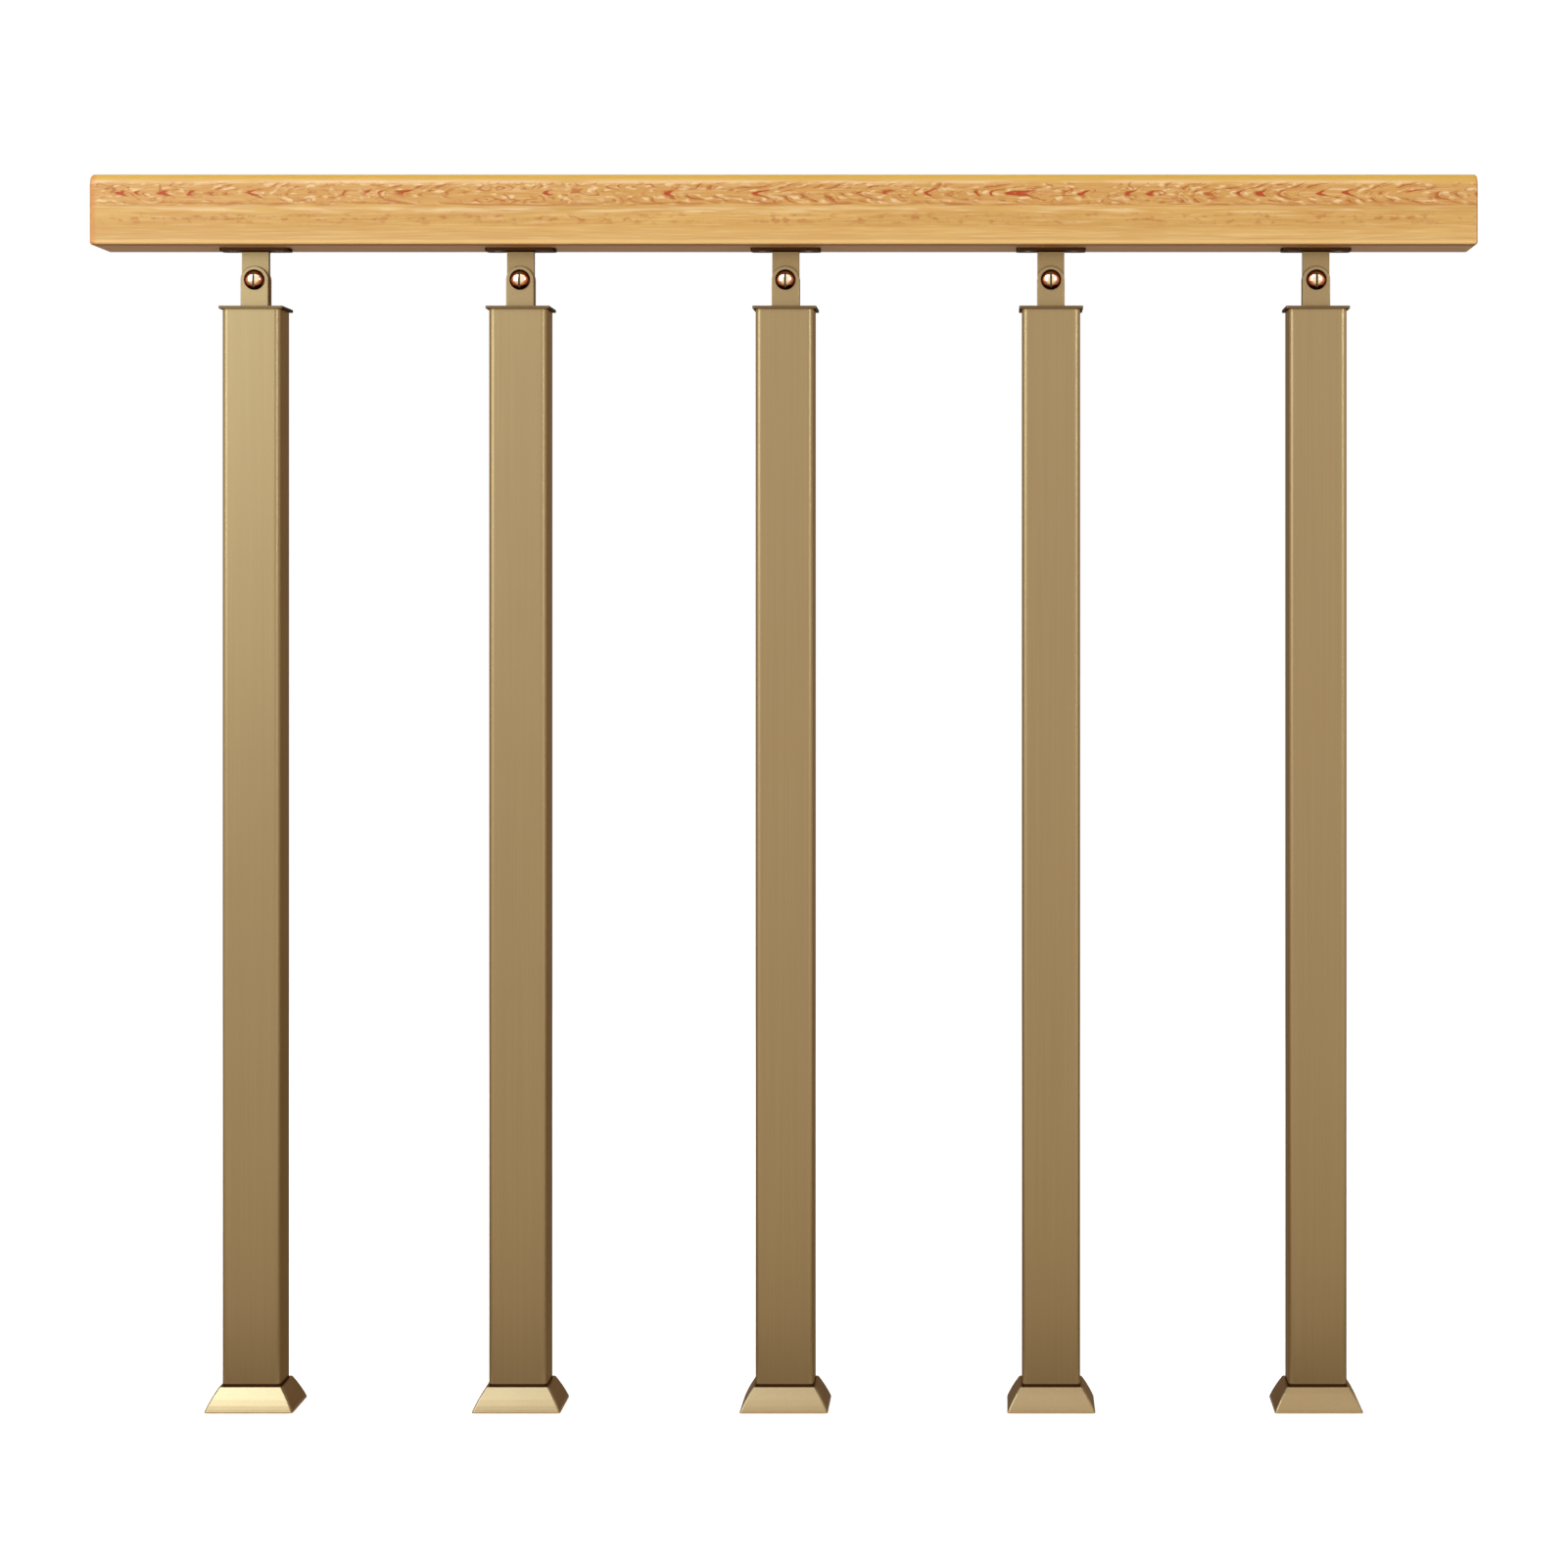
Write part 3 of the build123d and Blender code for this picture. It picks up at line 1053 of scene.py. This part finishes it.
@dataclass
class Card:
    """A plain card that only shiny surfaces see, shaded from one end to the other. Sizes are in metres."""

    name: str
    place: tuple[float, float, float]
    size: tuple[float, float]
    turn: tuple[float, float, float]
    start: str
    end: str

    def build(self) -> None:
        """Set the card up."""
        width, length = self.size
        mesh = bmesh.new()
        bmesh.ops.create_grid(mesh, x_segments=1, y_segments=1, size=0.5)
        bmesh.ops.scale(mesh, vec=(width, length, 1), verts=mesh.verts[:])
        card = mesh_object(self.name, mesh)
        card.location = self.place
        card.rotation_euler = self.turn
        card.visible_camera = False
        card.visible_diffuse = False
        card.visible_shadow = False
        card.visible_transmission = False
        material, tree, place = new_material(self.name)
        along = add_node(tree, "ShaderNodeSeparateXYZ", {0: place}).outputs[1]
        share = add_node(tree, "ShaderNodeMapRange", {0: along, 1: -length / 2, 2: length / 2})
        shade = add_node(
            tree, "ShaderNodeMix", {0: share, 6: linear(self.start), 7: linear(self.end)}, data_type="RGBA"
        )
        end_material(tree, add_node(tree, "ShaderNodeEmission", {"Color": shade.outputs[2]}))
        card.data.materials.append(material)


class Reach(Enum):
    """Which surfaces a lamp lights."""

    MATT = "matt"
    SHINY = "shiny"


@dataclass
class Lamp:
    """A soft rectangular lamp."""

    name: str
    reach: Reach
    place: tuple[float, float, float]
    target: tuple[float, float, float]
    size: tuple[float, float]
    power: float
    colour: tuple[float, float, float] = (1.0, 1.0, 1.0)

    def build(self) -> None:
        """Hang the lamp and aim it."""
        data = bpy.data.lights.new(self.name, "AREA")
        data.shape = "RECTANGLE"
        data.size, data.size_y = self.size
        data.energy = self.power
        data.color = self.colour
        lamp = bpy.data.objects.new(self.name, data)
        bpy.context.scene.collection.objects.link(lamp)
        lamp.location = self.place
        aim = Vector(self.target) - Vector(self.place)
        lamp.rotation_euler = aim.to_track_quat("-Z", "Y").to_euler()
        lamp.visible_camera = False
        lamp.visible_diffuse = self.reach is Reach.MATT
        lamp.visible_glossy = self.reach is Reach.SHINY


@dataclass
class Studio:
    """A white studio: pale floor, soft lamps, cards for the metal and a white world.

    The cool and cold lamps take the yellow out of the metal's highlights. Places and sizes are in metres,
    and powers in watts.
    """

    floor_size: float = 60.0
    floor_pale: str = "#E6E6E6"
    floor_grey: str = "#9A8288"
    floor_glow: float = 0.58
    world_light: float = 0.55
    cool: tuple[float, float, float] = (0.72, 1.0, 1.15)
    cold: tuple[float, float, float] = (0.71, 1.0, 1.4)

    def build(self) -> None:
        """Set the world, the floor, the cards and the lamps."""
        self.world()
        self.floor()
        for card in (
            Card("front_card", (0.0, -2.3, 0.002), (6.0, 4.0), (0, 0, 0), "#F2F0E6", "#DAD6C8"),
            Card("near_card", (0.0, -0.17, 0.003), (2.4, 0.26), (0, 0, 0), "#CCC0AC", "#766650"),
            Card("rear_card", (0.0, 1.585, 0.002), (8.0, 3.23), (0, 0, 0), "#A89C88", "#A09480"),
            Card("back_card", (0.0, 3.2, 0.85), (8.0, 1.7), (math.pi / 2, 0, 0), "#B4A898", "#B4A898"),
            Card("ceiling_card", (0.0, 0.0, 2.9), (6.0, 3.6), (0, 0, 0), "#4A3828", "#4A3828"),
        ):
            card.build()
        for lamp in (
            Lamp("top_fill", Reach.MATT, (-1.6, -1.6, 2.4), (-0.1, 0.0, 0.3), (1.6, 1.0), 26.0),
            Lamp("left_fill", Reach.MATT, (-1.9, -2.0, 1.2), (0.0, 0.0, 0.7), (0.8, 2.2), 18.0),
            Lamp("right_fill", Reach.MATT, (1.9, -2.0, 1.2), (0.0, 0.0, 0.7), (0.8, 2.2), 26.0),
            Lamp("back_fill", Reach.MATT, (0.4, 2.2, 1.5), (0.0, 0.0, 0.7), (2.0, 1.0), 20.0),
            Lamp("key", Reach.SHINY, (-1.3, -1.6, 2.4), (-0.1, 0.0, 0.1), (1.8, 1.1), 32.0, self.cold),
            Lamp("overhead", Reach.SHINY, (0.2, -1.6, 2.4), (0.2, 0.0, 0.0), (3.0, 0.6), 5.0),
            Lamp("near_left", Reach.SHINY, (-0.95, -0.9, 1.0), (-0.3, 0.0, 0.7), (0.9, 0.9), 4.8, self.cool),
            Lamp("left_spark", Reach.SHINY, (-1.9, -2.0, 1.2), (0.0, 0.0, 0.8), (0.35, 0.35), 3.0),
            Lamp("right_spark", Reach.SHINY, (1.9, -2.0, 1.2), (0.0, 0.0, 0.8), (0.5, 0.5), 12.0, self.cool),
        ):
            lamp.build()

    def seen(self, tree: Tree) -> Source:
        """Whether a ray comes from the camera, a shiny surface or glass.

        Args:
            tree: the tree that asks.

        Returns:
            1 for such a ray, 0 for one that only carries light.
        """
        rays = add_node(tree, "ShaderNodeLightPath").outputs
        seen = rays["Is Camera Ray"]
        for kind in ("Is Glossy Ray", "Is Transmission Ray"):
            seen = add_node(tree, "ShaderNodeMath", {0: seen, 1: rays[kind]}, operation="MAXIMUM")
        return seen

    def world(self) -> None:
        """White where it is seen, softer as a light."""
        world = bpy.data.worlds.new("white_studio")
        world.use_nodes = True
        tree = world.node_tree
        tree.nodes.clear()
        strength = add_node(tree, "ShaderNodeMapRange", {0: self.seen(tree), 3: self.world_light, 4: 1.0})
        background = add_node(tree, "ShaderNodeBackground", {"Color": (1, 1, 1, 1), "Strength": strength})
        add_node(tree, "ShaderNodeOutputWorld", {"Surface": background})
        bpy.context.scene.world = world

    def floor(self) -> None:
        """Floor that takes shadows, but is lit to white where it is seen, and sends little light back up."""
        mesh = bmesh.new()
        bmesh.ops.create_grid(mesh, x_segments=1, y_segments=1, size=self.floor_size / 2)
        floor = mesh_object("floor", mesh)
        material, tree, _ = new_material("pale_floor")
        pale = add_node(
            tree,
            "ShaderNodeBsdfPrincipled",
            {
                "Base Color": linear(self.floor_pale),
                "Roughness": 0.9,
                "Specular IOR Level": 0.0,
                "Emission Color": (1, 1, 1, 1),
                "Emission Strength": self.floor_glow,
            },
        )
        grey = add_node(tree, "ShaderNodeBsdfDiffuse", {"Color": linear(self.floor_grey)})
        end_material(tree, add_node(tree, "ShaderNodeMixShader", {0: self.seen(tree), 1: grey, 2: pale}))
        floor.data.materials.append(material)


def main() -> None:
    """Load the frame, dress the railing and set the studio."""
    logging.basicConfig(level=logging.INFO, format="%(message)s")
    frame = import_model()
    finishes = Finishes.build(Knuckle.plate_thickness)
    Handrail(frame, finishes).build()
    for number in range(1, POSTS + 1):
        Post(frame, finishes, number).build()
        Knuckle(frame, finishes, number).build()
    Studio().build()
    Camera().build()
    bpy.context.scene.view_settings.view_transform = "Standard"


if __name__ == "__main__":
    main()
